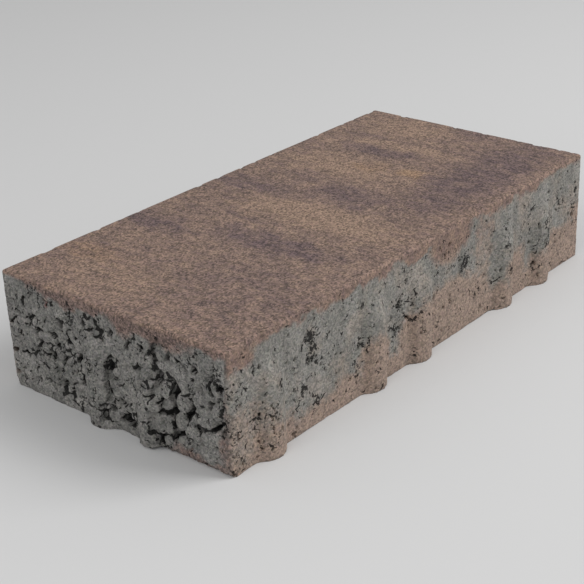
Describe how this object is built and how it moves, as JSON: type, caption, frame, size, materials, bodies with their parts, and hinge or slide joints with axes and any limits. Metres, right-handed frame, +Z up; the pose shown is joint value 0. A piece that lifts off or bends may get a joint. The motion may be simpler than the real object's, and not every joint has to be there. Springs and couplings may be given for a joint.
{
  "type": "concrete paving stone",
  "caption": "Rectangular pressed-concrete paving stone with a flat coloured walking face, rough grey sides and upright spacer nibs that set the joint to the next stone.",
  "frame": {"origin": "middle of the bed face, the underside that the stone is laid on", "axes": "+X along the long side, +Y across the width, +Z up out of the walking face"},
  "size_m": [0.2036, 0.1036, 0.041],
  "materials": {
    "concrete": "matt pressed concrete, brown-blend face over a grey open-grained core"
  },
  "bodies": {
    "root": {"paving_stone": "concrete"}
  },
  "joints": []
}
